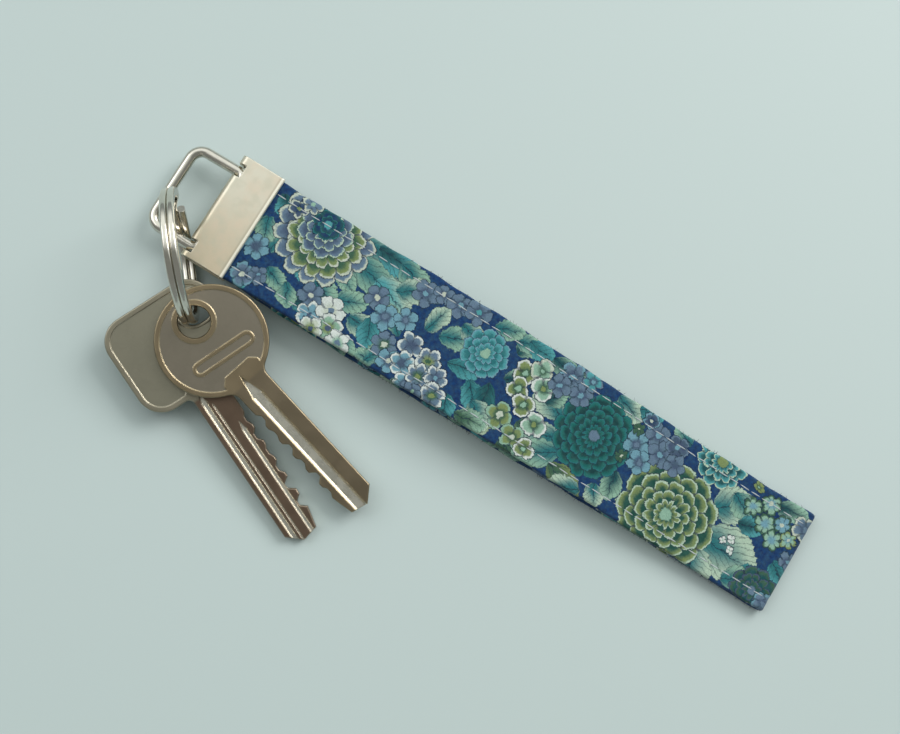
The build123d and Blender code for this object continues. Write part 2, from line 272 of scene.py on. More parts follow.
# %% Floor
floor_mesh = bmesh.new()
bmesh.ops.create_grid(floor_mesh, x_segments=8, y_segments=8, size=1.5)
floor_data = bpy.data.meshes.new("table_top")
floor_mesh.to_mesh(floor_data)
floor_mesh.free()
table_top = bpy.data.objects.new("table_top", floor_data)
bpy.context.scene.collection.objects.link(table_top)
floor_paint, tree, shader = new_material("table_paint")
shader.inputs["Base Color"].default_value = paint(192, 207, 205)
shader.inputs["Roughness"].default_value = 0.55
floor_data.materials.append(floor_paint)
print("floor at z = 0")

# %% [markdown]
# ## The print on the cotton
# The cloth has a dark blue ground crowded with garden flowers: leaves, small blossoms in clusters
# and large many-petalled heads. A picture file would blur close up, so each motif is a formula in
# the flat cloth's own millimetres. Three node groups draw one motif each over whatever lies under
# it. Placing them one after another, like stamps, builds the print, and the list of stamps is all
# that sets its layout.

# %% Colours of the print
NAVY = paint(14, 52, 98)
INK = paint(9, 30, 58)
TEAL = paint(36, 116, 122)
DEEP_TEAL = paint(10, 78, 84)
SEA = paint(16, 112, 106)
TURQUOISE = paint(82, 164, 170)
SAGE = paint(152, 192, 168)
PALE_SAGE = paint(190, 214, 190)
OLIVE = paint(132, 150, 92)
MOSS = paint(58, 96, 72)
LILAC = paint(104, 128, 152)
SLATE = paint(70, 88, 116)
SKY = paint(118, 166, 184)
CREAM = paint(206, 216, 198)
WHITE = paint(226, 234, 228)


# %% One leaf
def leaf_group():
    """A leaf with a saw-toothed edge, a midrib and side veins, dark at its base and pale outside."""
    tree, wire, out = new_group(
        "stamp_leaf",
        {"Under": tuple, "Along": float, "Across": float, "Turn": float, "Length": float,
         "Width": float, "Base": tuple, "Tip": tuple, "Ink": tuple},
        {"Colour": tuple},
    )
    level, steep = maths("COSINE", wire["Turn"]), maths("SINE", wire["Turn"])
    x = wire["Along"] * level + wire["Across"] * steep
    y = wire["Across"] * level - wire["Along"] * steep
    share = limit(x / wire["Length"])
    side = maths("ABSOLUTE", y)
    belly = share * (maths("SUBTRACT", 1.0, share)) * 4.0
    teeth = maths("PINGPONG", share * 7.0 - side * 0.6, 0.5)
    half = (belly ** 0.6) * wire["Width"] * (teeth * 0.10 + 0.50)
    edge = half - side
    inside = ramp(edge, 0.0, 0.07)
    across = maths("MINIMUM", side / (half + 0.05), 1.0)
    tone = ramp(across * 0.6 + share * 0.7, 0.25, 0.95)
    vein = maths("PINGPONG", share * 5.0 - side * 0.75, 0.5)
    vein_line = maths("SUBTRACT", 1.0, ramp(vein, 0.03, 0.13)) * 0.5
    rib = maths("SUBTRACT", 1.0, ramp(side, 0.05, 0.17)) * maths("SUBTRACT", 1.0, ramp(share, 0.6, 0.95))
    rim = maths("SUBTRACT", 1.0, ramp(edge, 0.08, 0.22)) * 0.75
    lines = maths("MAXIMUM", maths("MAXIMUM", vein_line, rib * 0.85), rim)
    colour = blend(tone, wire["Base"], wire["Tip"])
    colour = blend(lines, colour, wire["Ink"])
    tree.links.new(blend(inside, wire["Under"], colour).socket, out.inputs[0])
    return tree


# %% One small blossom
def blossom_group():
    """A flower of a few round petals: pale rims, darker throats, a bright heart and a dark outline."""
    tree, wire, out = new_group(
        "stamp_blossom",
        {"Under": tuple, "Along": float, "Across": float, "Radius": float, "Petals": float,
         "Turn": float, "Throat": tuple, "Petal": tuple, "Rim": tuple, "Heart": tuple, "Ink": tuple},
        {"Colour": tuple},
    )
    x, y = wire["Along"], wire["Across"]
    distance = maths("SQRT", x * x + y * y)
    angle = maths("ARCTAN2", y, x) + wire["Turn"]
    lobe = maths("ABSOLUTE", maths("COSINE", angle * wire["Petals"] * 0.5))
    edge = wire["Radius"] * ((lobe ** 0.55) * 0.34 + 0.66) - distance
    depth = distance / wire["Radius"]
    rim = maths("SUBTRACT", 1.0, ramp(maths("DIVIDE", edge, wire["Radius"]), 0.10, 0.26))
    gap = maths("SUBTRACT", 1.0, ramp(lobe, 0.12, 0.42)) * ramp(depth, 0.2, 0.4) * 0.65
    heart = maths("SUBTRACT", 1.0, ramp(depth, 0.17, 0.24))
    throat = maths("SUBTRACT", 1.0, ramp(depth, 0.2, 0.62))
    colour = blend(throat, wire["Petal"], wire["Throat"])
    colour = blend(rim, colour, wire["Rim"])
    colour = blend(gap, colour, wire["Ink"])
    colour = blend(heart, colour, wire["Heart"])
    outline = ramp(edge, -0.24, -0.14) * 0.85
    under = blend(outline, wire["Under"], wire["Ink"])
    tree.links.new(blend(ramp(edge, -0.03, 0.05), under, colour).socket, out.inputs[0])
    return tree


# %% One large many-petalled head
def bloom_group():
    """Rings of scalloped petals, each ring over the next one out, with pale rims and deep roots."""
    tree, wire, out = new_group(
        "stamp_bloom",
        {"Under": tuple, "Along": float, "Across": float, "Radius": float, "Rings": float,
         "Petals": float, "Turn": float, "Root": tuple, "Petal": tuple, "Rim": tuple,
         "Heart": tuple, "Ink": tuple},
        {"Colour": tuple},
    )
    x, y = wire["Along"], wire["Across"]
    distance = maths("SQRT", x * x + y * y)
    angle = (maths("ARCTAN2", y, x) + wire["Turn"]) * wire["Petals"] * 0.5
    outward = maths("DIVIDE", distance, wire["Radius"]) * wire["Rings"]
    lobe_even = maths("ABSOLUTE", maths("COSINE", angle))
    lobe_odd = maths("ABSOLUTE", maths("SINE", angle))
    reach_even = outward - (lobe_even ** 0.6) * 0.62
    reach_odd = outward - (lobe_odd ** 0.6) * 0.62
    ring_even = maths("CEIL", (reach_even - 1.0) * 0.5) * 2.0
    ring_odd = maths("CEIL", (reach_odd - 2.0) * 0.5) * 2.0 + 1.0
    even = maths("LESS_THAN", ring_even, ring_odd)
    ring = maths("MINIMUM", ring_even, ring_odd)
    odd = maths("SUBTRACT", 1.0, even)
    reach = reach_even * even + reach_odd * odd
    lobe = lobe_even * even + lobe_odd * odd
    inward = ring + 1.0 - reach
    rim = maths("SUBTRACT", 1.0, ramp(inward, 0.16, 0.34))
    root = ramp(inward, 0.3, 0.95)
    line = maths("SUBTRACT", 1.0, ramp(inward, 0.03, 0.1))
    gap = maths("SUBTRACT", 1.0, ramp(lobe, 0.06, 0.24))
    heart = maths("SUBTRACT", 1.0, ramp(outward, 0.55, 0.75))
    colour = blend(root, wire["Petal"], wire["Root"])
    colour = blend(rim, colour, wire["Rim"])
    colour = blend(maths("MAXIMUM", line, gap * 0.8), colour, wire["Ink"])
    colour = blend(heart, colour, wire["Heart"])
    inside = maths("LESS_THAN", ring, wire["Rings"] - 0.5)
    tree.links.new(blend(inside, wire["Under"], colour).socket, out.inputs[0])
    return tree


LEAF = leaf_group()
BLOSSOM = blossom_group()
BLOOM = bloom_group()
print("stamps:", LEAF.name, BLOSSOM.name, BLOOM.name)

# %% [markdown]
# ## The layout of the print
# Places are in the flat cloth's millimetres: the first number runs along the band and is 0 at the
# middle of its visible length, the second runs across it. Leaves lie under the flowers, so they
# are stamped first. Each line gives a place, a turn in degrees and a size, and names its colours.

# %% Leaves: base point, direction in degrees, length, width, colour at the base, colour at the tip
LEAVES = [
    (-64.5, -2.0, 70, 6.0, 3.6, TEAL, SAGE), (-63.0, -5.5, -20, 6.0, 3.2, TEAL, SAGE),
    (-66.0, -7.5, -95, 5.0, 3.0, TEAL, TURQUOISE), (-57.0, 1.5, -75, 5.4, 3.4, TEAL, TURQUOISE),
    (-53.5, 1.6, -60, 5.4, 3.4, TEAL, TURQUOISE), (-49.5, 3.0, -35, 6.0, 3.6, TEAL, SAGE),
    (-48.5, 9.8, 8, 12.5, 7.4, TEAL, PALE_SAGE), (-47.5, 6.0, -12, 12.0, 6.0, TEAL, SAGE),
    (-41.5, 4.6, -18, 9.5, 6.4, TURQUOISE, PALE_SAGE), (-47.0, -4.0, 25, 7.0, 4.0, TEAL, SAGE),
    (-42.5, -5.4, -5, 7.5, 4.4, TEAL, PALE_SAGE), (-40.6, -9.5, -60, 4.5, 3.4, TEAL, SAGE),
    (-31.0, -3.5, 135, 6.5, 3.0, TEAL, SAGE), (-30.5, -6.5, 175, 6.5, 3.0, TEAL, SAGE),
    (-26.5, 0.8, 75, 6.5, 3.4, TEAL, PALE_SAGE), (-23.5, 1.2, 25, 7.5, 4.4, TEAL, SAGE),
    (-19.0, -2.5, 10, 7.0, 3.6, TEAL, TURQUOISE), (-32.0, -10.0, 200, 5.0, 3.4, TEAL, SAGE),
    (-25.0, -10.8, -100, 4.5, 3.6, DEEP_TEAL, SAGE), (-15.8, -8.5, -70, 5.5, 4.2, TEAL, TURQUOISE),
    (-13.0, -3.0, -55, 7.0, 3.6, TEAL, TURQUOISE), (-9.0, -1.6, -75, 8.0, 4.0, DEEP_TEAL, TEAL),
    (-7.5, 7.2, 55, 5.5, 4.0, DEEP_TEAL, SAGE), (-9.0, 9.5, 15, 6.5, 3.8, TEAL, SAGE),
    (0.5, -5.0, -25, 7.0, 5.0, MOSS, OLIVE), (-3.5, -8.5, 200, 6.5, 5.0, OLIVE, PALE_SAGE),
    (-1.0, -11.2, -20, 8.0, 5.4, MOSS, OLIVE), (9.5, 5.0, 120, 6.5, 4.6, TEAL, SAGE),
    (8.5, 0.5, 165, 7.5, 4.8, TEAL, PALE_SAGE), (10.5, -3.5, 205, 9.0, 5.0, TEAL, PALE_SAGE),
    (12.0, -6.0, 215, 10.0, 5.0, TEAL, SAGE), (11.0, -9.5, -20, 9.0, 4.6, MOSS, OLIVE),
    (17.0, 11.6, -20, 7.0, 4.6, TEAL, PALE_SAGE), (22.0, -8.0, -60, 5.0, 3.6, TEAL, PALE_SAGE),
    (48.5, 1.5, 40, 8.0, 7.0, TEAL, PALE_SAGE), (48.5, -5.0, -4, 13.5, 9.4, TEAL, PALE_SAGE),
    (47.0, -8.5, -48, 9.5, 7.4, TEAL, PALE_SAGE), (60.0, -6.5, -20, 6.0, 5.0, TEAL, TURQUOISE),
    (60.5, 9.6, 10, 7.0, 4.0, DEEP_TEAL, SAGE), (64.0, -10.8, 60, 5.5, 4.0, TEAL, SAGE),
    (-44.5, 11.2, -5, 9.0, 5.4, DEEP_TEAL, TURQUOISE), (-38.5, 10.8, -22, 8.0, 4.6, TEAL, SAGE),
    (-36.5, 4.8, 30, 7.5, 4.6, TEAL, PALE_SAGE), (-52.5, -2.6, -20, 6.0, 4.4, TEAL, SAGE),
    (-55.0, -9.0, 20, 5.5, 3.6, DEEP_TEAL, TURQUOISE), (-57.5, -6.0, -60, 5.0, 3.4, TEAL, SAGE),
    (-38.0, -3.0, -70, 6.0, 4.2, TEAL, TURQUOISE), (-34.5, -11.6, 60, 5.0, 3.6, TEAL, SAGE),
    (-20.5, 6.2, -15, 6.5, 4.0, TEAL, PALE_SAGE), (-14.0, 9.4, 25, 6.0, 3.8, TEAL, SAGE),
    (-6.5, 0.5, 40, 5.5, 3.6, DEEP_TEAL, SAGE), (-10.5, -7.0, -30, 6.5, 4.6, TEAL, PALE_SAGE),
    (-12.0, -11.5, 10, 6.5, 4.2, MOSS, SAGE), (-6.0, 11.0, -10, 6.0, 4.0, TEAL, TURQUOISE),
    (0.5, 10.8, -15, 6.0, 4.2, DEEP_TEAL, SAGE), (3.5, 1.0, 60, 5.5, 4.0, DEEP_TEAL, SAGE),
    (20.0, -11.2, 200, 7.0, 4.6, TEAL, PALE_SAGE), (25.0, -3.0, -80, 6.0, 4.2, DEEP_TEAL, SAGE),
    (22.5, 11.6, 10, 5.5, 3.6, TEAL, TURQUOISE), (37.0, 11.0, 160, 5.0, 3.6, TEAL, SAGE),
    (33.5, -0.5, 50, 6.0, 4.0, DEEP_TEAL, PALE_SAGE), (51.0, 7.0, -30, 6.0, 4.2, TEAL, SAGE),
    (55.0, 1.5, 20, 5.5, 3.8, DEEP_TEAL, TURQUOISE), (57.5, -11.0, 30, 6.5, 4.6, TEAL, SAGE),
    (66.0, -1.5, -40, 5.5, 4.2, TEAL, TURQUOISE), (-68.5, 4.5, -70, 6.0, 3.8, TEAL, SAGE),
    (-68.0, 10.5, -60, 5.5, 3.6, DEEP_TEAL, TURQUOISE),
]

# %% Large heads: place, radius, rings, petals, turn, then colours of root, petal, rim and heart
BLOOMS = [
    (-55.9, 7.2, 9.6, 3, 15, 10, SLATE, LILAC, CREAM, DEEP_TEAL),
    (-55.2, 6.4, 7.4, 3, 13, 0, MOSS, OLIVE, CREAM, DEEP_TEAL),
    (-56.2, 8.0, 5.2, 3, 9, 30, SLATE, LILAC, PALE_SAGE, DEEP_TEAL),
    (-56.6, 9.4, 2.8, 2, 7, 0, NAVY, DEEP_TEAL, TEAL, TURQUOISE),
    (-13.0, 3.4, 4.6, 3, 10, 0, TEAL, TURQUOISE, SKY, SAGE),
    (16.7, 0.7, 8.4, 5, 13, 5, paint(4, 64, 66), SEA, TEAL, LILAC),
    (39.8, -5.2, 10.6, 5, 11, 0, paint(22, 78, 66), OLIVE, PALE_SAGE, SAGE),
    (45.0, 11.4, 5.2, 3, 11, 0, DEEP_TEAL, TURQUOISE, PALE_SAGE, OLIVE),
    (65.0, -9.5, 4.6, 3, 9, 0, DEEP_TEAL, MOSS, SLATE, LILAC),
]

# %% Small blossoms: place, radius, petals, turn, then throat, petal, rim and heart
BLOSSOMS = [
    (-67.2, -2.8, 2.6, 6, 0, SLATE, SKY, SKY, SLATE),
    (-66.5, -9.5, 2.6, 5, 20, SLATE, LILAC, SKY, CREAM),
    (-63.6, -8.0, 1.9, 5, 0, SLATE, LILAC, LILAC, SKY),
    (-63.8, 9.2, 2.0, 5, 0, NAVY, SLATE, CREAM, OLIVE),
    (-61.6, 11.8, 2.2, 6, 0, LILAC, LILAC, CREAM, SAGE),
    (-51.4, -5.8, 2.7, 5, 10, SLATE, LILAC, LILAC, CREAM),
    (-49.8, -9.4, 2.5, 5, 50, SKY, SKY, WHITE, SLATE),
    (-46.2, -6.2, 2.9, 5, 0, CREAM, WHITE, WHITE, LILAC),
    (-44.6, -9.8, 2.9, 5, 30, OLIVE, SAGE, WHITE, SLATE),
    (-48.0, -12.0, 2.5, 5, 0, OLIVE, CREAM, WHITE, SLATE),
    (-41.4, -11.6, 2.6, 5, 15, SAGE, WHITE, WHITE, LILAC),
    (-39.2, 1.4, 2.5, 5, 0, SLATE, LILAC, LILAC, CREAM),
    (-30.6, 7.6, 2.7, 5, 0, SLATE, LILAC, LILAC, SKY),
    (-27.2, 9.6, 2.1, 5, 30, SLATE, LILAC, LILAC, CREAM),
    (-23.0, 9.4, 2.6, 5, 12, SLATE, LILAC, LILAC, SKY),
    (-18.8, 10.4, 2.8, 5, 0, SLATE, LILAC, LILAC, TURQUOISE),
    (-35.6, -1.4, 2.7, 5, 0, SLATE, SKY, SKY, LILAC), (-31.4, 0.4, 2.4, 5, 25, SLATE, SKY, SKY, LILAC),
    (-32.6, -6.6, 2.6, 6, 0, MOSS, LILAC, LILAC, CREAM),
    (-30.0, -9.2, 2.5, 5, 0, SLATE, SKY, SKY, CREAM),
    (-27.6, -3.6, 2.6, 5, 10, SLATE, LILAC, WHITE, SLATE),
    (-27.2, -8.0, 2.5, 5, 40, SLATE, SKY, WHITE, SLATE),
    (-22.6, -4.6, 2.6, 5, 0, OLIVE, LILAC, WHITE, MOSS),
    (-24.8, -11.6, 2.2, 5, 0, SLATE, SKY, WHITE, LILAC),
    (-22.8, -8.6, 2.6, 6, 20, MOSS, LILAC, WHITE, OLIVE),
    (-19.4, -6.8, 2.3, 5, 0, SLATE, LILAC, WHITE, SKY),
    (-18.2, -10.6, 2.7, 5, 35, MOSS, LILAC, WHITE, OLIVE),
    (-22.4, -12.4, 2.0, 5, 0, SLATE, LILAC, LILAC, SAGE),
    (-3.4, 4.4, 2.5, 3, 0, MOSS, OLIVE, WHITE, SAGE), (-0.4, 6.8, 2.4, 3, 40, MOSS, SAGE, CREAM, SAGE),
    (-3.0, 0.6, 2.5, 3, 20, MOSS, OLIVE, WHITE, SAGE), (1.8, 3.6, 2.5, 3, 60, MOSS, SAGE, WHITE, OLIVE),
    (-0.2, -1.8, 2.4, 3, 80, MOSS, OLIVE, WHITE, SAGE),
    (4.0, -4.2, 2.6, 3, 10, MOSS, SAGE, WHITE, OLIVE),
    (-3.6, -6.4, 2.8, 4, 0, MOSS, OLIVE, SAGE, CREAM),
    (1.2, -9.0, 2.6, 4, 30, MOSS, OLIVE, SAGE, CREAM),
    (4.8, -9.8, 2.2, 3, 15, MOSS, OLIVE, WHITE, SAGE), (6.0, 9.4, 2.9, 5, 0, SLATE, LILAC, SKY, SKY),
    (9.6, 6.8, 2.5, 5, 30, SLATE, LILAC, LILAC, SKY), (4.6, 6.2, 2.4, 5, 10, SLATE, LILAC, LILAC, SKY),
    (10.4, 11.0, 2.3, 5, 0, SLATE, TURQUOISE, LILAC, SKY),
    (26.0, 4.4, 2.8, 5, 0, SLATE, SKY, SKY, LILAC), (29.2, 8.6, 2.7, 5, 20, SLATE, LILAC, LILAC, SKY),
    (31.8, 5.2, 2.7, 5, 45, SLATE, LILAC, LILAC, SKY), (28.4, 1.2, 2.5, 5, 0, SLATE, SKY, SKY, LILAC),
    (26.2, 10.6, 1.8, 5, 0, NAVY, SLATE, SKY, CREAM), (34.4, 8.8, 2.4, 5, 10, SLATE, SLATE, LILAC, SKY),
    (35.8, 5.0, 2.3, 5, 0, SLATE, LILAC, LILAC, SLATE), (24.2, 0.4, 1.2, 6, 0, MOSS, MOSS, MOSS, CREAM),
    (24.6, 7.4, 1.2, 6, 0, MOSS, MOSS, MOSS, CREAM), (56.0, 6.6, 2.1, 6, 0, SKY, SAGE, MOSS, SKY),
    (59.4, 9.2, 2.2, 6, 0, SKY, SAGE, MOSS, CREAM), (60.2, 4.6, 2.2, 6, 0, SKY, SAGE, MOSS, SKY),
    (63.8, 6.6, 2.0, 6, 0, SKY, SKY, MOSS, CREAM), (63.4, 2.4, 2.1, 6, 0, SKY, SAGE, MOSS, SKY),
    (66.6, 4.2, 1.8, 6, 0, SKY, SAGE, OLIVE, CREAM), (55.0, 11.2, 1.3, 6, 0, MOSS, OLIVE, OLIVE, SAGE),
    (68.6, 8.2, 2.6, 5, 0, SLATE, LILAC, CREAM, LILAC),
    (68.6, -11.0, 2.4, 5, 0, SLATE, LILAC, SKY, LILAC),
    (53.6, -3.4, 0.8, 4, 0, WHITE, WHITE, WHITE, SAGE),
    (55.4, -2.2, 0.8, 4, 20, WHITE, WHITE, WHITE, SAGE),
    (56.2, -4.4, 0.8, 4, 40, WHITE, WHITE, WHITE, SAGE),
    (68.8, 0.2, 1.9, 5, 0, SLATE, LILAC, LILAC, SKY),
]
print("motifs:", len(LEAVES), "leaves,", len(BLOOMS), "large heads,", len(BLOSSOMS), "blossoms")

# %% [markdown]
# ## The cloth's material
# The print repeats along the cloth, so the place is wrapped by the length of one repeat. A slow
# wobble of the place makes the edges of the motifs look hand drawn. Over the print comes painted
# shade in the hollows between the threads, a plain weave as bump, and a soft sheen. The weave is
# a node group of its own.

# %% Weave
THREADS_PER_MM = 3.4


def weave_group():
    """Over-and-under threads of a plain weave, as a height from 0 to 1."""
    tree, wire, out = new_group("weave", {"Spot": Vector, "Threads": float}, {"Height": float})
    x, y, _ = parts(wire["Spot"])
    warp = x * wire["Threads"]
    weft = y * wire["Threads"]
    over = maths("SINE", warp * pi) * maths("SINE", weft * pi)
    warp_round = maths("ABSOLUTE", maths("SINE", weft * pi))
    weft_round = maths("ABSOLUTE", maths("SINE", warp * pi))
    chosen = maths("GREATER_THAN", over, 0.0)
    height = warp_round * chosen + weft_round * maths("SUBTRACT", 1.0, chosen)
    tree.links.new(height.socket, out.inputs[0])
    return tree


WEAVE = weave_group()

# %% [markdown]
# ## The line that the band follows
# Seen from the side, the band leaves the clamp, rises to a crest, comes down to the table, folds
# flat on itself and runs back under the clamp. Every stretch is a straight run or an arc, so the
# line is a list of moves, and a walk along them gives the place and the heading at any length.

# %% Moves along the band
BAND_THICK = 1.5
BAND_PLAY = 0.06
BAND_GRIP = 6.0
CREST = 8.1
CREST_X = -22.0
FOLD_RADIUS = 0.85
TOUCHDOWN_X = -47.0

strap_low, strap_high = (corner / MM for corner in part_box("strap_fabric"))
clamp_low, clamp_high = (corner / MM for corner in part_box("clamp"))
BAND_WIDTH = strap_high.y - strap_low.y
FOLD_X = strap_high.x
MOUTH_X = clamp_high.x
CLAMP_MID = (clamp_low.z + clamp_high.z) / 2
PAIR = (BAND_THICK + BAND_PLAY) / 2


def s_bend(run, rise):
    """Two equal arcs that climb by rise over run and end level: radius and angle of each."""
    turn = 2 * atan(rise / run)
    return run / (2 * sin(turn)), turn


def band_moves():
    """Straight runs as (length, 0) and arcs as (length, curvature), from inside the clamp and back."""
    fold_x = FOLD_X - FOLD_RADIUS - BAND_THICK / 2
    low = BAND_THICK / 2
    rise, rise_turn = s_bend(CREST_X - MOUTH_X, CREST - CLAMP_MID - PAIR)
    fall, fall_turn = s_bend(fold_x - CREST_X, CREST - low - 2 * FOLD_RADIUS)
    under, under_turn = s_bend(TOUCHDOWN_X - MOUTH_X, CLAMP_MID - PAIR - low)
    arcs = [(rise, rise_turn), (rise, -rise_turn), (fall, -fall_turn), (fall, fall_turn),
            (FOLD_RADIUS, -pi)]
    moves = [(BAND_GRIP, 0.0)]
    moves += [(radius * abs(turn), turn / abs(turn) / radius) for radius, turn in arcs]
    moves.append((fold_x - TOUCHDOWN_X, 0.0))
    moves += [(under * under_turn, -1 / under), (under * under_turn, 1 / under)]
    moves.append((BAND_GRIP, 0.0))
    return moves


MOVES = band_moves()
BAND_LENGTH = sum(length for length, _ in MOVES)
FOLD_START = sum(length for length, _ in MOVES[:5])


def walk(length):
    """The band's middle line at a length from its start: x, z and heading in radians."""
    x, z, heading = MOUTH_X - BAND_GRIP, CLAMP_MID + PAIR, 0.0
    for move, curve in MOVES:
        step = min(move, length)
        if curve:
            x += (sin(heading + curve * step) - sin(heading)) / curve
            z += (cos(heading) - cos(heading + curve * step)) / curve
            heading += curve * step
        else:
            x += step * cos(heading)
            z += step * sin(heading)
        length -= step
        if length <= 0:
            break
    return x, z, heading


print(f"band {BAND_LENGTH:.1f} mm long; it folds at x = {walk(FOLD_START)[0]:.1f} mm")

# %% [markdown]
# ## The band
# The cloth wraps round its core like a flat sleeve. A flat grid stands for the sleeve cut open:
# one side of it runs along the band, the other once round its section. The flat place of every
# point is kept as the cloth's own map, in millimetres, before the grid is wrapped, so the print
# follows the cloth. While it is wrapped, the two rows of stitching pull it in, each needle hole a
# little deeper, and slow ripples keep it from looking like sheet metal.

# %% Section of the band
EDGE_ROUND = 0.6
EDGE_STEPS = 5
ROW_STEP = 0.55
FOLD_STEP = 0.16
STITCH_PITCH = 2.87
STITCH_LENGTH = 2.2
STITCH_INSET = 3.25
ROW_Y = BAND_WIDTH / 2 - STITCH_INSET


def section():
    """Points once round the band's section, as (across, height, distance round), from the -y edge."""
    half_wide = BAND_WIDTH / 2
    half_thick = BAND_THICK / 2
    straight = half_wide - EDGE_ROUND
    columns = int(2 * straight / ROW_STEP)
    quarter = []
    for step in range(EDGE_STEPS + 1):
        turn = pi / 2 * step / EDGE_STEPS
        quarter.append((-straight - EDGE_ROUND * cos(turn), half_thick * sin(turn)))
    top = [(-straight + 2 * straight * i / columns, half_thick) for i in range(1, columns)]
    outer = quarter + top + [(-y, z) for y, z in reversed(quarter)]
    inner = [(y, -z) for y, z in reversed(outer)][1:]
    points = outer + inner
    lengths = [0.0]
    for (y0, z0), (y1, z1) in zip(points, points[1:]):
        lengths.append(lengths[-1] + hypot(y1 - y0, z1 - z0))
    return [(y, z, round_it) for (y, z), round_it in zip(points, lengths)]


SECTION = section()
ROUND_LENGTH = SECTION[-1][2]


def stations():
    """Lengths along the band where the grid has a row, closer together round the fold."""
    places = [0.0]
    fold_end = FOLD_START + MOVES[5][0]
    while places[-1] < BAND_LENGTH - ROW_STEP / 2:
        near = FOLD_START - 2 < places[-1] < fold_end + 2
        places.append(places[-1] + (FOLD_STEP if near else ROW_STEP))
    places[-1] = BAND_LENGTH
    return places


STATIONS = stations()
print(len(STATIONS), "rows of", len(SECTION), "points")


# %% Printed cotton
REPEAT = 146.0              # millimetres of cloth before the print comes again
SEAM = 73.5
WOBBLE = 1.6
BRUSH = 0.7                 # a finer unevenness, as a brush leaves
LEAF_LONG = 1.12
LEAF_WIDE = 1.25
PETAL_GROW = 1.12


def stamp_all(tree, along, across, colour):
    """Every motif of the print, one over another, starting from the ground colour."""
    def offset(x, y):
        return {"Along": along - x, "Across": across - y}

    for x, y, turn, length, width, base, tip in LEAVES:
        colour = use_group(tree, LEAF, offset(x, y) | {
            "Under": colour, "Turn": radians(turn), "Length": length * LEAF_LONG,
            "Width": width * LEAF_WIDE,
            "Base": base, "Tip": tip, "Ink": INK})
    for x, y, radius, rings, petals, turn, root, petal, rim, heart in BLOOMS:
        colour = use_group(tree, BLOOM, offset(x, y) | {
            "Under": colour, "Radius": radius, "Rings": rings, "Petals": petals,
            "Turn": radians(turn), "Root": root, "Petal": petal, "Rim": rim, "Heart": heart,
            "Ink": INK})
    for x, y, radius, petals, turn, throat, petal, rim, heart in BLOSSOMS:
        colour = use_group(tree, BLOSSOM, offset(x, y) | {
            "Under": colour, "Radius": radius * PETAL_GROW, "Petals": petals,
            "Turn": radians(turn), "Throat": throat, "Petal": petal, "Rim": rim, "Heart": heart, "Ink": INK})
    return colour


def printed_cotton():
    """The cloth of the band, read from the band's own flat map in millimetres."""
    material, tree, shader = new_material("cotton_print")
    flat = Wire(tree, add_node(tree, "UVMap", uv_map="flat_mm").outputs[0])
    along, across, _ = parts(flat)
    wrapped = maths("WRAP", along, SEAM, SEAM - REPEAT)
    level = maths("WRAP", across, ROUND_LENGTH / 4, -ROUND_LENGTH / 4)
    wobble = noise(flat, 0.45, 2.0) - 0.5
    sway = noise(flat, 0.45, 2.0, layer=7.0) - 0.5
    brush = noise(flat, 2.4, 1.0, layer=3.0) - 0.5
    dab = noise(flat, 2.4, 1.0, layer=11.0) - 0.5
    mottle = ramp(noise(flat, 1.3, 4.0, 0.7), 0.3, 0.7)
    ground = blend(mottle, paint(0, 36, 86), paint(4, 66, 122))
    colour = stamp_all(tree, wrapped + wobble * WOBBLE + brush * BRUSH,
                       level + sway * WOBBLE + dab * BRUSH, ground)
    wash = ramp(noise(flat, 0.8, 3.0, 0.6, layer=5.0), 0.35, 0.7)
    colour = blend(wash * 0.16, colour, paint(92, 138, 128))
    bleed = ramp(noise(flat, 3.2, 3.0, 0.7, layer=9.0), 0.3, 0.75)
    colour = blend(bleed * 0.30, colour, paint(30, 66, 88), "MULTIPLY")
    weave = use_group(tree, WEAVE, {"Spot": flat, "Threads": THREADS_PER_MM})
    # Painted shade: the low parts of the weave, between the threads, are darkened.
    colour = blend(maths("SUBTRACT", 1.0, weave) * 0.16, colour, paint(8, 24, 44))
    feed(tree, shader.inputs["Base Color"], colour)
    shader.inputs["Roughness"].default_value = 0.82
    shader.inputs["Specular IOR Level"].default_value = 0.28
    shader.inputs["Sheen Weight"].default_value = 0.12
    shader.inputs["Sheen Roughness"].default_value = 0.5
    fuzz = noise(flat, 6.0, 3.0, 0.7)
    cloth = weave * 0.6 + fuzz * 0.4
    bump = add_node(tree, "Bump", {"Height": cloth, "Strength": 0.35, "Distance": 0.00006})
    tree.links.new(bump.outputs[0], shader.inputs["Normal"])
    return material


cotton = printed_cotton()
print("cotton print has", len(cotton.node_tree.nodes), "nodes")


# %% Shape of the cloth
def ripple(length, across):
    """A slow, shallow unevenness of the cloth, in millimetres."""
    waves = sin(length * 0.21 + 1.3) * cos(across * 0.33) + 0.6 * sin(length * 0.47 - across * 0.25)
    fine = 0.35 * sin(length * 1.13 + across * 0.9) + 0.25 * sin(length * 1.9 - across * 1.4 + 0.7)
    return 0.045 * waves + 0.03 * fine


def stitch_dip(length, across):
    """How far the stitching pulls the cloth in, deepest at the needle holes."""
    from_row = abs(abs(across) - ROW_Y)
    phase = (length / STITCH_PITCH) % 1.0
    hole = max(0.0, cos(2 * pi * phase)) ** 3
    groove = 2.718 ** (-((from_row / 0.55) ** 2))
    pit = 2.718 ** (-((from_row / 0.32) ** 2))
    return 0.10 * groove + 0.16 * pit * hole


def edge_wave(length, side):
    """The long edges aren't cut dead straight."""
    return 0.10 * sin(length * 0.31 + side) + 0.06 * sin(length * 0.83 + 2 * side)


def band_point(length, across, height):
    """A point of the band from its place along, across and above the middle line."""
    x, z, heading = walk(length)
    return Vector((x - height * sin(heading), across, z + height * cos(heading))) * MM


def settle(obj):
    """Give a new object its place in the scene."""
    bpy.context.scene.collection.objects.link(obj)
    return obj


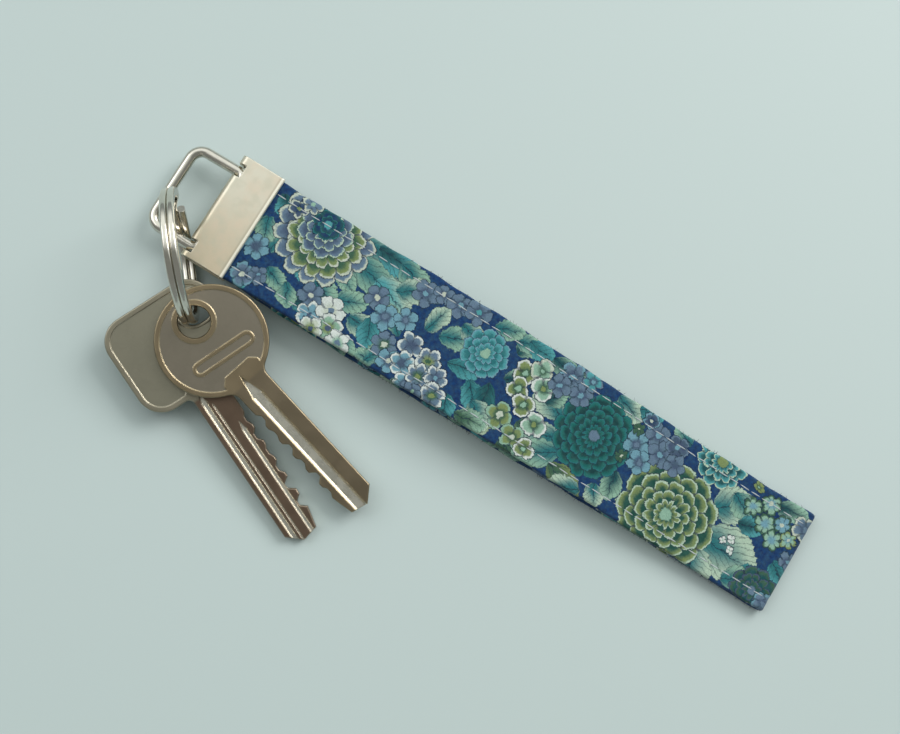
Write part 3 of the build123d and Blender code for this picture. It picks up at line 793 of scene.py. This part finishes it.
def finish_mesh(shape, name, material, smooth=True):
    """Turn a bmesh into an object with a material; faces point outwards."""
    bmesh.ops.recalc_face_normals(shape, faces=shape.faces)
    for face in shape.faces:
        face.smooth = smooth
    data = bpy.data.meshes.new(name)
    shape.to_mesh(data)
    shape.free()
    data.materials.append(material)
    return settle(bpy.data.objects.new(name, data))


def make_band():
    """The sleeve of printed cloth, wrapped from a flat grid."""
    shape = bmesh.new()
    rows, columns = len(STATIONS) - 1, len(SECTION) - 1
    bmesh.ops.create_grid(shape, x_segments=rows, y_segments=columns, size=1.0)
    flat = shape.loops.layers.uv.new("flat_mm")
    start_u = MOUTH_X - BAND_GRIP
    for face in shape.faces:
        for loop in face.loops:
            row = round((loop.vert.co.x + 1) / 2 * rows)
            column = round((loop.vert.co.y + 1) / 2 * columns)
            loop[flat].uv = (start_u + STATIONS[row], SECTION[column][2] - ROUND_LENGTH / 4)
    for vert in shape.verts:
        length = STATIONS[round((vert.co.x + 1) / 2 * rows)]
        across, height, _ = SECTION[round((vert.co.y + 1) / 2 * columns)]
        face_share = height / (BAND_THICK / 2)
        pull = stitch_dip(length, across) * face_share
        lift = ripple(length, across) * (1 - abs(2 * across / BAND_WIDTH) ** 6)
        side = 1 if across > 0 else -1
        wave = side * (edge_wave(length, side) - 0.16) if abs(across) > ROW_Y + 1 else 0.0
        vert.co = band_point(length, across + wave, height - pull + lift * 0.6 - 0.04 * face_share)
    bmesh.ops.remove_doubles(shape, verts=shape.verts, dist=0.00002)
    ends = [edge for edge in shape.edges if edge.is_boundary]
    bmesh.ops.holes_fill(shape, edges=ends, sides=0)
    return finish_mesh(shape, "strap_cloth", cotton)


strap = make_band()
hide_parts("strap_fabric")
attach(strap, "strap")
BAND_LENGTH * MM
print("strap cloth:", len(strap.data.polygons), "faces")

# %% [markdown]
# ## The stitching
# A lockstitch shows as a row of short thread arches that dive into the cloth at both ends. Each is
# a small stretched ball, sunk a little, so that its ends vanish in the needle holes. There is one
# object for each thread: the upper thread shows outside the band and the lower thread inside it.


# %% Stitching thread
def thread_material():
    """Pale cotton thread with a diagonal twist, its grooves darkened as painted shade."""
    material, tree, shader = new_material("stitching")
    place = Wire(tree, add_node(tree, "TexCoord").outputs["Object"])
    scaled = add_node(tree, "VectorMath", {0: place, "Scale": 1 / MM}, operation="SCALE")
    x, y, _ = parts(Wire(tree, scaled.outputs[0]))
    twist = maths("PINGPONG", x * 4.0 + y * 7.0, 0.5) * 2.0
    fuzz = noise(Wire(tree, scaled.outputs[0]), 5.0)
    # Painted shade in the grooves of the twist, with random fuzz.
    colour = blend(twist * 0.6 + fuzz * 0.3, paint(146, 158, 166), paint(216, 222, 222))
    feed(tree, shader.inputs["Base Color"], colour)
    shader.inputs["Roughness"].default_value = 0.7
    shader.inputs["Sheen Weight"].default_value = 0.15
    bump = add_node(tree, "Bump", {"Height": twist, "Strength": 0.4, "Distance": 0.00005})
    tree.links.new(bump.outputs[0], shader.inputs["Normal"])
    return material


THREAD_WIDE = 0.28
THREAD_HIGH = 0.24


def make_thread(name, side, face, material):
    """One row of stitches: side is the row, +1 or -1 across; face is +1 outside, -1 inside."""
    shape = bmesh.new()
    random = Random(name)
    outside = face > 0
    first_x = MOUTH_X + 0.9 if outside else TOUCHDOWN_X + 4
    last_x = FOLD_X - (2.2 if outside else 22)
    for index in range(int(BAND_LENGTH / STITCH_PITCH)):
        middle = (index + 0.5) * STITCH_PITCH
        x, z, heading = walk(middle)
        if not first_x < x < last_x:
            continue
        sink = 0.22 if z < BAND_THICK and outside else 0.13
        place = band_point(middle, side * ROW_Y + random.uniform(-0.05, 0.05),
                           face * (BAND_THICK / 2 - sink))
        turn = Matrix.Rotation(-heading, 4, "Y") @ Matrix.Rotation(random.uniform(-0.05, 0.05), 4, "Z")
        long = STITCH_LENGTH * random.uniform(1.04, 1.18)
        size = Matrix.Diagonal((long / 2, THREAD_WIDE / 2, THREAD_HIGH / 2, 1)) * MM
        size[3][3] = 1
        bmesh.ops.create_uvsphere(shape, u_segments=8, v_segments=8, radius=1.0,
                                  matrix=Matrix.Translation(place) @ turn @ size)
    thread = finish_mesh(shape, name, material)
    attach(thread, "strap")
    return thread


thread_finish = thread_material()
for side, label in ((1, "left"), (-1, "right")):
    for face, row in ((1, "top_thread_"), (-1, "bobbin_thread_")):
        thread = make_thread(row + label + "_stitches", side, face, thread_finish)
        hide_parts(row + label)
        print(thread.name, len(thread.data.polygons), "faces")

# %% [markdown]
# ## The frayed edge
# The long edges are raw, the near one most of all, and short fibres stand out of them. Each fibre
# is a thin cone with a few faces, turned at random but always outwards. The random numbers are
# seeded, so the edge is the same every time.


# %% Fibres
def fibre_material():
    """Loose cotton fibres: mostly the dark of the ground, some undyed."""
    material, tree, shader = new_material("frayed_cotton")
    place = Wire(tree, add_node(tree, "TexCoord").outputs["Object"])
    tone = ramp(noise(place, 420.0, 1.0), 0.52, 0.6)
    feed(tree, shader.inputs["Base Color"], blend(tone, paint(26, 44, 66), paint(150, 160, 160)))
    shader.inputs["Roughness"].default_value = 0.9
    return material


FIBRES = 520
KEYS_REACH_X = -40.0        # the keys swing past the edge up to here, so its fibres are worn short
WORN_SHORT = 0.35


def make_fibres(name, side, count, first_u, last_u, material):
    """Short fibres that stand out of one long edge of the band."""
    shape = bmesh.new()
    random = Random(name)
    for _ in range(count):
        length = random.uniform(first_u, last_u)
        x, z, heading = walk(length)
        height = random.uniform(-0.6, 0.6)
        root = band_point(length, side * (BAND_WIDTH / 2 - 0.25), height)
        worn = WORN_SHORT if x < KEYS_REACH_X else 1.0
        long = random.uniform(0.35, 1.0) * random.uniform(0.6, 1.0) * worn
        out = Vector((random.gauss(0, 0.8), side * random.uniform(0.5, 1.0), random.gauss(0, 0.35)))
        turn = out.to_track_quat("Z", "Y").to_matrix().to_4x4()
        middle = root + out.normalized() * (long / 2) * MM
        if (middle + out.normalized() * (long / 2) * MM).z < 0.05 * MM:
            continue
        bmesh.ops.create_cone(shape, cap_ends=True, segments=5, radius1=0.045 * MM,
                              radius2=0.012 * MM, depth=long * MM,
                              matrix=Matrix.Translation(middle) @ turn)
    fibres = finish_mesh(shape, name, material)
    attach(fibres, "strap")
    return fibres


fray_finish = fibre_material()
bare = (BAND_GRIP + 1, BAND_LENGTH - BAND_GRIP - 1)
fray_near = make_fibres("frayed_edge_near", -1, FIBRES, *bare, fray_finish)
fray_far = make_fibres("frayed_edge_far", 1, FIBRES // 3, *bare, fray_finish)
print("fibres:", len(fray_near.data.polygons) + len(fray_far.data.polygons), "faces")

# %% [markdown]
# ## Finishes for the metal
# All the metal is nickel over steel or brass, but each piece has its own wear. Three effects are
# shared, as node groups: a mask that finds the edges, where plating is rubbed bright or through to
# brass and where a painted highlight brightens them too; fine scratches that run one way; and cloudy
# handling marks.


# %% Shared effects
def edge_group():
    """1 on the edges of a shape and 0 on its faces: a rounded normal is compared with the true one."""
    tree, wire, out = new_group("edge_wear_and_highlight", {"Radius": float, "Spread": float, "Spot": Vector},
                                {"Edge": float})
    bevel = Wire(tree, add_node(tree, "Bevel", {"Radius": wire["Radius"]}, samples=6).outputs[0])
    true = Wire(tree, add_node(tree, "NewGeometry").outputs["Normal"])
    match = vector_maths("DOT_PRODUCT", bevel, true)
    breakup = noise(wire["Spot"], 2.2, 3.0, 0.6) * 0.5 + 0.7
    edge = limit(maths("SUBTRACT", 1.0, match) * wire["Spread"] * breakup)
    tree.links.new(edge.socket, out.inputs[0])
    return tree


def scratch_group():
    """Fine scratches along one direction, as a height about 0.5."""
    tree, wire, out = new_group("scratches", {"Spot": Vector, "Stretch": Vector}, {"Height": float})
    stretched = vector_maths("MULTIPLY", wire["Spot"], wire["Stretch"])
    fine = noise(stretched, 1.0, 4.0, 0.65)
    tree.links.new(fine.socket, out.inputs[0])
    return tree


def smudge_group():
    """Cloudy marks from handling, 0 to 1."""
    tree, wire, out = new_group("smudges", {"Spot": Vector, "Scale": float}, {"Mark": float})
    cloud = noise(wire["Spot"], wire["Scale"], 4.0, 0.6)
    tree.links.new(ramp(cloud, 0.38, 0.66).socket, out.inputs[0])
    return tree


# The edge mask carries both rubbed wear and painted highlight on the edges.
EDGE_WEAR_AND_HIGHLIGHT = edge_group()
SCRATCH = scratch_group()
SMUDGE = smudge_group()


def rounded(tree, radius):
    """A normal that is rounded over sharp edges, so that every edge catches a thin line of light."""
    return add_node(tree, "Bevel", {"Radius": radius * MM}, samples=6).outputs[0]


def relief(tree, shader, height, strength, edge_radius):
    """Fine relief over softly rounded edges, as the surface's normal."""
    bump = add_node(tree, "Bump", {"Height": height, "Strength": strength, "Distance": 0.00004})
    tree.links.new(rounded(tree, edge_radius), bump.inputs["Normal"])
    tree.links.new(bump.outputs[0], shader.inputs["Normal"])


def millimetres(tree):
    """The place on the object, in millimetres."""
    place = add_node(tree, "TexCoord").outputs["Object"]
    node = add_node(tree, "VectorMath", {0: Wire(tree, place), "Scale": 1 / MM}, operation="SCALE")
    return Wire(tree, node.outputs[0])


def finish_node(name, material):
    """Put a finish on an imported solid, in place of what it came with."""
    solid = frame["nodes"][name]
    solid.data.materials.clear()
    solid.data.materials.append(material)
    print(name, "gets", material.name)


# %% Clamp
LIP_HIGHLIGHT_WIDE = 0.9              # the painted highlight along the bent-down lip of the clamp's mouth


def clamp_material():
    """Satin nickel, a little warm, with cloudy tints and a painted reflection that lightens it towards +y, a
    painted highlight along the mouth's lip with painted shade behind it, and edges bright where rubbed and
    with painted highlight.
    """
    material, tree, shader = new_material("clamp_nickel")
    spot = millimetres(tree)
    edge = use_group(tree, EDGE_WEAR_AND_HIGHLIGHT, {"Radius": 0.5 * MM, "Spread": 3.0, "Spot": spot})
    grain = use_group(tree, SCRATCH, {"Spot": spot, "Stretch": (1.2, 14.0, 3.0)})
    marks = use_group(tree, SMUDGE, {"Spot": spot, "Scale": 0.16})
    along, across, _ = parts(spot)
    # Painted highlight: a bright band along the bent-down lip at the clamp's mouth.
    lip_highlight = ramp(along, MOUTH_X - LIP_HIGHLIGHT_WIDE, MOUTH_X - LIP_HIGHLIGHT_WIDE + 0.3)
    shade = ramp(along, MOUTH_X - LIP_HIGHLIGHT_WIDE - 0.5, MOUTH_X - LIP_HIGHLIGHT_WIDE) * maths("SUBTRACT", 1.0, lip_highlight)
    # Painted reflection: lighter towards +y, darker and warmer towards -y.
    tint = blend(ramp(across, -13.0, 9.0), (0.60, 0.53, 0.38, 1), (0.72, 0.68, 0.56, 1))
    tint = blend(marks * 0.6, tint, (0.72, 0.60, 0.46, 1))
    tint = blend(ramp(noise(spot, 0.35, 3.0), 0.4, 0.7) * 0.5, tint, (0.58, 0.56, 0.44, 1))
    # Painted shade: a darker band just behind the lip, where the mouth bends down.
    tint = blend(shade * 0.4, tint, (0.36, 0.32, 0.23, 1))
    # Rubbed edges, painted highlight on the edges and painted highlight on the lip, in one bright colour.
    tint = blend(maths("MAXIMUM", edge, lip_highlight), tint, (0.94, 0.90, 0.76, 1))
    feed(tree, shader.inputs["Base Color"], tint)
    shader.inputs["Metallic"].default_value = 1.0
    feed(tree, shader.inputs["Roughness"], grain * 0.16 + marks * 0.05 + 0.26 - edge * 0.12)
    relief(tree, shader, grain, 0.12, 0.3)
    return material


finish_node("clamp", clamp_material())


# %% Loop and ring
def polished_material(name, colour, roughness, stretch):
    """Polished nickel wire with hairline wear."""
    material, tree, shader = new_material(name)
    spot = millimetres(tree)
    hair = use_group(tree, SCRATCH, {"Spot": spot, "Stretch": stretch})
    marks = use_group(tree, SMUDGE, {"Spot": spot, "Scale": 0.5})
    tint = blend(marks * 0.4, colour, [value * 0.84 for value in colour[:3]] + [1])
    feed(tree, shader.inputs["Base Color"], tint)
    shader.inputs["Metallic"].default_value = 1.0
    feed(tree, shader.inputs["Roughness"], ramp(hair, 0.35, 0.8) * 0.16 + marks * 0.06 + roughness)
    relief(tree, shader, hair, 0.08, 0.12)
    return material


finish_node("wire_loop", polished_material("wire_nickel", (0.66, 0.63, 0.55, 1), 0.10, (9.0, 9.0, 9.0)))
finish_node("split_ring", polished_material("ring_nickel", (0.70, 0.67, 0.59, 1), 0.06, (6.0, 6.0, 1.2)))

# %% [markdown]
# ## The keys
# A key is stamped from brass and plated. Its bow is pressed down inside a raised rim, and the
# grooves are milled afterwards, so they show bright bare metal. All of this depends only on the
# height above the key's own plane, so the material works in the key's own frame: the joint that
# the key turns on gives its origin and its upright direction.

# %% Finish of a key
KEY_THICK = 2.2
RECESS = 0.3
joints = {joint["name"]: joint for joint in frame["joints"]}


def key_frame(tree, spot, joint, heading):
    """The place in a key's own frame, in millimetres: x along its blade, z up from its middle."""
    upright = Vector(joint["axis"]).normalized()
    along = Vector((cos(radians(heading)), sin(radians(heading)), 0))
    along = (along - upright * along.dot(upright)).normalized()
    across = upright.cross(along)
    origin = Vector(joint["pos_m"]) / MM
    offset = vector_maths("SUBTRACT", spot, origin)
    return [vector_maths("DOT_PRODUCT", offset, direction) for direction in (along, across, upright)]


def key_material(name, joint, heading, blade_x, field, raised, blade, worn):
    """Plated brass: a satin field, a rubbed rim, a browner blade, bright milled grooves, and edges rubbed
    through to brass and brightened as painted highlight.
    """
    material, tree, shader = new_material(name)
    spot = millimetres(tree)
    x, y, z = key_frame(tree, spot, joints[joint], heading)
    local = Wire(tree, add_node(tree, "CombineXYZ", {0: x, 1: y, 2: z}).outputs[0])
    height = maths("ABSOLUTE", z)
    top = ramp(height, KEY_THICK / 2 - RECESS + 0.05, KEY_THICK / 2 - 0.05)
    on_blade = ramp(x, blade_x - 0.4, blade_x + 0.4)
    milled = maths("MULTIPLY", on_blade, maths("SUBTRACT", 1.0, ramp(height, 0.72, 1.0)))
    edge = use_group(tree, EDGE_WEAR_AND_HIGHLIGHT, {"Radius": 0.35 * MM, "Spread": 4.0, "Spot": spot})
    marks = use_group(tree, SMUDGE, {"Spot": local, "Scale": 0.22})
    lengthwise = use_group(tree, SCRATCH, {"Spot": local, "Stretch": (0.5, 11.0, 11.0)})
    crosswise = use_group(tree, SCRATCH, {"Spot": local, "Stretch": (9.0, 1.6, 9.0)})
    tint = blend(marks * 0.5, field, [value * 0.8 for value in field[:3]] + [1])
    tint = blend(top, tint, raised)
    tint = blend(on_blade, tint, blade)
    tint = blend(milled, tint, (0.74, 0.71, 0.61, 1))
    # Edges: brass rubbed through the plating, and painted highlight.
    tint = blend(edge * 0.85, tint, worn)
    tint = blend(ramp(lengthwise, 0.5, 0.8) * 0.25, tint, (0.30, 0.26, 0.20, 1))
    feed(tree, shader.inputs["Base Color"], tint)
    shader.inputs["Metallic"].default_value = 1.0
    height_map = lengthwise * on_blade + crosswise * maths("SUBTRACT", 1.0, on_blade)
    rough = height_map * 0.2 + marks * 0.08 + 0.22 - edge * 0.1 - milled * 0.08
    feed(tree, shader.inputs["Roughness"], rough)
    relief(tree, shader, height_map, 0.25, 0.28)
    return material


# The last colour of each key paints its edges: brass rubbed through, brightened as painted highlight.
BRASS = (0.90, 0.74, 0.46, 1)
finish_node("key_round", key_material(
    "round_key_metal", "round_key_turn", -15.5, 17.0, (0.31, 0.275, 0.215, 1), (0.29, 0.23, 0.145, 1),
    (0.24, 0.195, 0.13, 1), BRASS))
finish_node("key_square", key_material(
    "square_key_metal", "square_key_turn", -24.5, 17.0, (0.36, 0.34, 0.26, 1), (0.35, 0.32, 0.24, 1),
    (0.20, 0.14, 0.10, 1), (0.78, 0.72, 0.56, 1)))


# %% Core of the band
def core_material():
    """The stiff felted layer between the two cloth skins."""
    material, tree, shader = new_material("interfacing")
    spot = millimetres(tree)
    fleece = noise(spot, 3.0, 4.0, 0.7)
    feed(tree, shader.inputs["Base Color"], blend(fleece, paint(196, 196, 190), paint(226, 226, 222)))
    shader.inputs["Roughness"].default_value = 0.95
    bump = add_node(tree, "Bump", {"Height": fleece, "Strength": 0.5, "Distance": 0.0001})
    tree.links.new(bump.outputs[0], shader.inputs["Normal"])
    return material


finish_node("strap_core", core_material())
